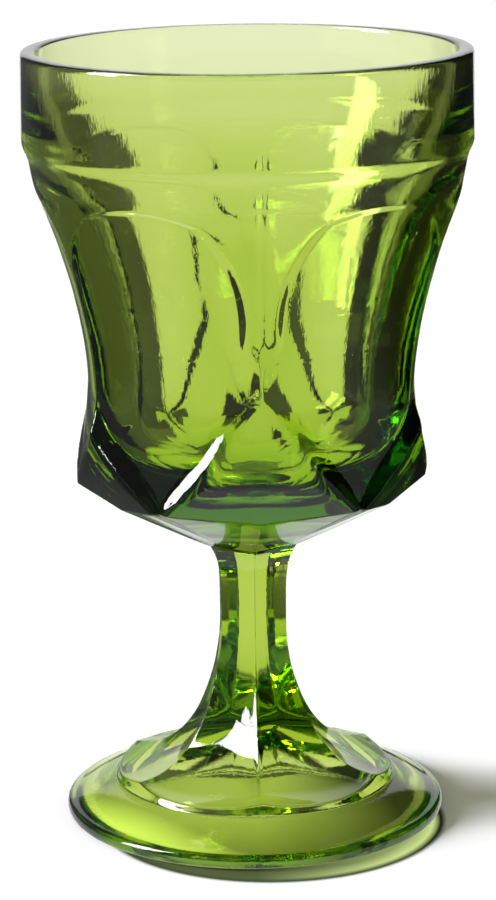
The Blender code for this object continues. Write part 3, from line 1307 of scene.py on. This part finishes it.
@dataclass(frozen=True)
class PaintedCausticStrip:
    """Painted light and shade where light has passed the foot's edge: a green strip glowing on the floor,
    brightest on the right, over a darker base colour.
    """

    centre: Pair = (0.0029, -0.0091)
    radius: float = 0.0328
    soft: float = 0.0010
    rim: float = 0.0008
    rim_width: float = 0.0014
    core: float = 0.0022
    core_width: float = 0.0030
    core_loss: float = 0.5
    dim: float = 0.04
    bright: float = 0.68
    start: float = -0.002
    spread: float = 0.028
    # Painted shade: the paper's base colour inside the strip.
    shade: Triple = (0.065, 0.085, 0.035)
    # Painted light: the colour that the strip emits.
    tint: Triple = (0.80, 1.00, 0.36)

    def depth(self, x: Field, y: Field) -> Field:
        """Return how far inside the strip's outer edge a spot lies."""
        return (x - self.centre[0]).reach(y - self.centre[1]) * -1.0 + self.radius

    def glow(self, x: Field, depth: Field) -> Field:
        """Work out the strip's painted light, an emission strongest along its middle.

        Args:
            x: How far the spot lies to the right.
            depth: How far inside the strip's outer edge it lies.

        Returns:
            The light's strength.
        """
        rise = depth.ramp(self.rim, self.rim_width)
        middle = rise - rise * depth.ramp(self.core, self.core_width) * self.core_loss
        return middle * (x.ramp(self.start, self.spread) * self.bright + self.dim)

    def dress(self, paper: bpy.types.ShaderNode, white: float, x: Field, y: Field) -> None:
        """Paint the strip's shade and light on the paper: a darker base colour and an emission.

        Args:
            paper: The paper's shader.
            white: The paper's own white.
            x: How far the spot lies to the right.
            y: How far it lies to the back.
        """
        link = paper.id_data.links.new
        depth = self.depth(x, y)
        plain = (white, white, white)
        link(mixed(depth.past(0.0, self.soft), plain, self.shade), paper.inputs["Base Color"])
        paper.inputs["Emission Color"].default_value = (*self.tint, 1.0)
        link(self.glow(x, depth).socket, paper.inputs["Emission Strength"])


@dataclass(frozen=True)
class Floor:
    """A pale matt floor, which the glass shows as the sweep's painted light, with a painted caustic strip
    by the foot.
    """

    half_size: float = 6.0
    drop: float = 0.0001
    white: float = 0.95
    sweep: Sweep = Sweep()
    fringe: PaintedCausticStrip = PaintedCausticStrip()

    def build(self) -> bpy.types.Object:
        """Lay the floor as a stage piece.

        Returns:
            The floor.
        """
        half = self.half_size
        mesh = bpy.data.meshes.new("floor")
        corners = [(-half, -half), (half, -half), (half, half), (-half, half)]
        mesh.from_pydata([(x, y, -self.drop) for x, y in corners], [], [(0, 1, 2, 3)])
        mesh.materials.append(self.material())
        floor = placed("floor", mesh)
        return floor

    def material(self) -> bpy.types.Material:
        """Make matt white paper, with the sweep painted on as emitted light where the glass shows it.

        Returns:
            The paper's finish.
        """
        made = bpy.data.materials.new("white_paper")
        made.use_nodes = True
        tree, link = made.node_tree, made.node_tree.links.new
        x, y, _ = axes(tree, "Object")
        shown = self.sweep.on_floor(x, y, light_path(tree, "Is Transmission Ray"))
        paper = tree.nodes["Principled BSDF"]
        self.fringe.dress(paper, self.white, x, y)
        paper.inputs["Roughness"].default_value = 1.0
        paper.inputs["Specular IOR Level"].default_value = 0.0
        # Glass rays see painted light and shade: an emission in place of the lit paper.
        light = tree.nodes.new("ShaderNodeEmission")
        link(shown.socket, light.inputs["Strength"])
        link(self.sweep.floor_colour(x, y), light.inputs["Color"])
        mix = tree.nodes.new("ShaderNodeMixShader")
        link(through_glass(tree).socket, mix.inputs["Fac"])
        link(paper.outputs["BSDF"], mix.inputs[1])
        link(light.outputs["Emission"], mix.inputs[2])
        link(mix.outputs["Shader"], tree.nodes["Material Output"].inputs["Surface"])
        return made


@dataclass(frozen=True)
class Studio:
    """A pale floor, a soft white surround and lamps on the window's side."""

    ambient: float = 0.33
    ambient_colour: Triple = (1.0, 1.03, 0.76)
    bounces: int = 24
    glossy_bounces: int = 12
    floor: Floor = Floor()
    lamps: tuple[Lamp, ...] = (
        Lamp("window_lamp", -78.0, 32.5, 12.0, 5.1, 6.2, 22.0, Role.GLINT),
        Lamp("low_window_lamp", -81.0, 10.5, 12.0, 3.8, 3.0, 24.0, Role.GLINT),
        Lamp("shadow_lamp", -90.0, 22.0, 12.0, 4.2, 3.4, 70.0, Role.SHADOW, (0.99, 0.98, 1.08)),
    )

    def build(self) -> None:
        """Set the floor, the world, the lamps and the light paths."""
        self.floor.build()
        self.world()
        for lamp in self.lamps:
            lamp.build()
        bpy.context.scene.view_settings.view_transform = "Standard"
        paths = bpy.context.scene.cycles
        paths.max_bounces = paths.transmission_bounces = self.bounces
        paths.glossy_bounces = self.glossy_bounces
        paths.caustics_refractive = paths.caustics_reflective = False

    def world(self) -> bpy.types.World:
        """Make the surround: white to the camera, the sweep to the glass, softer as a light.

        Returns:
            The scene's world.
        """
        world = bpy.data.worlds.new("white_surround")
        bpy.context.scene.world = world
        world.use_nodes = True
        tree, link = world.node_tree, world.node_tree.links.new
        shown = self.floor.sweep.in_sky(*axes(tree, "Generated"))
        seen, glass = light_path(tree, "Is Camera Ray"), through_glass(tree)
        plain = seen * (1.0 - self.ambient) + self.ambient
        strength = plain + (shown - plain) * glass
        sky = tree.nodes["Background"]
        link(mixed(seen.most(glass), self.ambient_colour, WHITE), sky.inputs["Color"])
        link(strength.socket, sky.inputs["Strength"])
        return world


@dataclass(frozen=True)
class View:
    """The photograph's camera, found from the goblet's own outline."""

    focal_pixels: float = 3133.67
    image_height: float = 900.0
    sensor: float = 36.0
    distance: float = 0.5745
    height: float = 0.2121
    sideways: float = -0.00059
    pitch: float = 0.2417
    roll: float = -0.0109
    bearing: float = math.radians(-3.3)

    def build(self) -> bpy.types.Object:
        """Set up the camera as the scene's own.

        Returns:
            The camera.
        """
        data = bpy.data.cameras.new("view")
        data.sensor_width = self.sensor
        data.lens = self.focal_pixels * self.sensor / self.image_height
        camera = placed("view", data)
        turn = Matrix.Rotation(self.bearing, 4, "Z")
        stand = Matrix.Translation((self.sideways, -self.distance, self.height))
        tilt = Matrix.Rotation(math.pi / 2 - self.pitch, 4, "X")
        camera.matrix_world = turn @ stand @ tilt @ Matrix.Rotation(self.roll, 4, "Z")
        bpy.context.scene.camera = camera
        return camera


def main() -> None:
    """Build the view, the studio and the goblet, and report the pieces."""
    logging.basicConfig(level=logging.INFO, format="%(name)s: %(message)s")
    View().build()
    Studio().build()
    piece = Goblet().build()
    LOG.info("%s: %d points, %d faces", piece.name, len(piece.data.vertices), len(piece.data.polygons))


if __name__ == "__main__":
    main()
